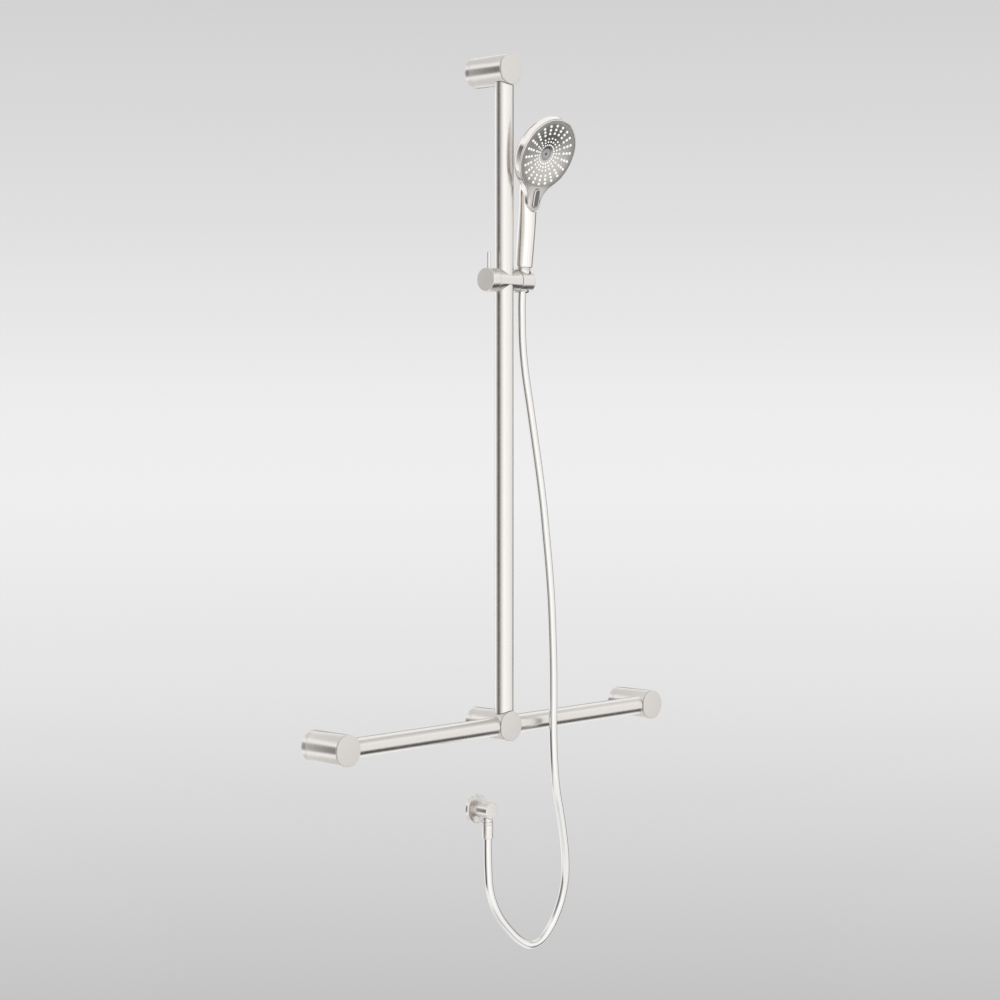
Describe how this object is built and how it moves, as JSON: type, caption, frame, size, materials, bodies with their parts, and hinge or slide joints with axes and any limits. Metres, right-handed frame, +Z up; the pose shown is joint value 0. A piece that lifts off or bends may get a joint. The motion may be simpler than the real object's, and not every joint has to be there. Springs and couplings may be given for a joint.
{
  "type": "grab rail with sliding hand shower",
  "caption": "T-shaped grab rail on wall posts with a lever-locked slider, tilting holder, teardrop hand shower with spray button, hose and wall elbow.",
  "frame": {"origin": "on the wall plane, at the centre of the post where the upright rail meets the two level rails", "axes": "+X right along the level rails, +Z up the upright rail, wall plane at Y = 0 with the object standing out towards -Y"},
  "size_m": [0.801, 0.1506, 1.5191],
  "materials": {
    "brushed_nickel": "warm brushed nickel, satin",
    "polished_nickel": "warm nickel plating, nearly mirror bright",
    "face_grey": "satin metallic grey plating on plastic",
    "screw_steel": "plain stainless steel",
    "brass": "machined brass",
    "white_rubber": "soft white silicone",
    "black_rubber": "matt black rubber",
    "grey_plastic": "satin mid-grey plastic",
    "white_plastic": "plain white engineering plastic",
    "silver_hose": "smooth silver sheath under clear plastic"
  },
  "bodies": {
    "rail_frame": {"vertical_rail": "brushed_nickel", "horizontal_rail_left": "brushed_nickel", "horizontal_rail_right": "brushed_nickel", "post_center": "brushed_nickel", "post_top": "brushed_nickel", "post_left": "brushed_nickel", "post_right": "brushed_nickel", "cap_center": "brushed_nickel", "cap_top": "brushed_nickel", "cap_left": "brushed_nickel", "cap_right": "brushed_nickel", "wall_plate_center": "brushed_nickel", "wall_plate_top": "brushed_nickel", "wall_plate_left": "brushed_nickel", "wall_plate_right": "brushed_nickel", "grub_screw_center": "screw_steel", "grub_screw_top": "screw_steel", "grub_screw_left": "screw_steel", "grub_screw_right": "screw_steel", "wall_screw_center_left": "screw_steel", "wall_screw_center_right": "screw_steel", "wall_screw_top_left": "screw_steel", "wall_screw_top_right": "screw_steel", "wall_screw_left_left": "screw_steel", "wall_screw_left_right": "screw_steel", "wall_screw_right_left": "screw_steel", "wall_screw_right_right": "screw_steel", "elbow_body": "brushed_nickel", "elbow_flange": "brushed_nickel", "check_valve": "white_plastic", "hose_nut_elbow": "brushed_nickel", "hose_washer_elbow": "black_rubber", "hose_lower": "silver_hose"},
    "slider": {"slider_body": "brushed_nickel", "guide_pad": "white_plastic", "holder_axle": "screw_steel"},
    "clamp": {"clamp_knob": "brushed_nickel", "clamp_lever": "brushed_nickel", "clamp_spindle": "screw_steel"},
    "clamp_shoe": {"clamp_shoe": "white_plastic"},
    "holder": {"holder": "brushed_nickel", "holder_insert": "grey_plastic", "holder_washer": "black_rubber"},
    "hose_end": {"hose_cone_nut": "brushed_nickel", "hose_washer_top": "black_rubber", "hose_upper": "silver_hose"},
    "handset": {"handset_shell": "polished_nickel", "face_bezel": "polished_nickel", "face_plate": "face_grey", "nozzle_mat": "white_rubber", "center_nozzle": "grey_plastic", "water_chamber": "white_plastic", "button_surround": "polished_nickel", "button_spring": "screw_steel", "diverter_housing": "white_plastic", "inlet_connector": "brass", "flow_regulator": "grey_plastic", "water_tube": "white_plastic"},
    "button": {"selector_button": "grey_plastic", "diverter_stem": "screw_steel"}
  },
  "joints": [
    {"name": "slider_slide", "type": "slide", "parent": "rail_frame", "child": "slider", "axis": [0, 0, 1], "range_m": [-0.55, 0.28], "deforming": ["hose_upper", "hose_lower"]},
    {"name": "knob_turn", "type": "hinge", "parent": "slider", "child": "clamp", "pos_m": [-0.035, -0.064, 0.75], "axis": [1, 0, 0], "range_deg": [0, 90]},
    {"name": "shoe_slide", "type": "slide", "parent": "slider", "child": "clamp_shoe", "axis": [-1, 0, 0], "range_m": [0, 0.0006]},
    {"name": "holder_tilt", "type": "hinge", "parent": "slider", "child": "holder", "pos_m": [0.045, -0.064, 0.75], "axis": [1, 0, 0], "range_deg": [0, 40]},
    {"name": "handset_lift", "type": "slide", "parent": "holder", "child": "hose_end", "axis": [0, -0.0958, 0.9954], "range_m": [0, 0.06]},
    {"name": "handset_swivel", "type": "hinge", "parent": "hose_end", "child": "handset", "pos_m": [0.0455, -0.0665, 0.75], "axis": [0, -0.0958, 0.9954], "range_deg": [0, 85]},
    {"name": "button_press", "type": "slide", "parent": "handset", "child": "button", "axis": [0, 0.91, 0.4147], "range_m": [0, 0.0015], "stiffness_N_per_m": 900, "deforming": ["button_spring"]}
  ],
  "couplings": [
    {"joint": "shoe_slide", "follows": "knob_turn", "m_per_rad": 0.0003}
  ]
}
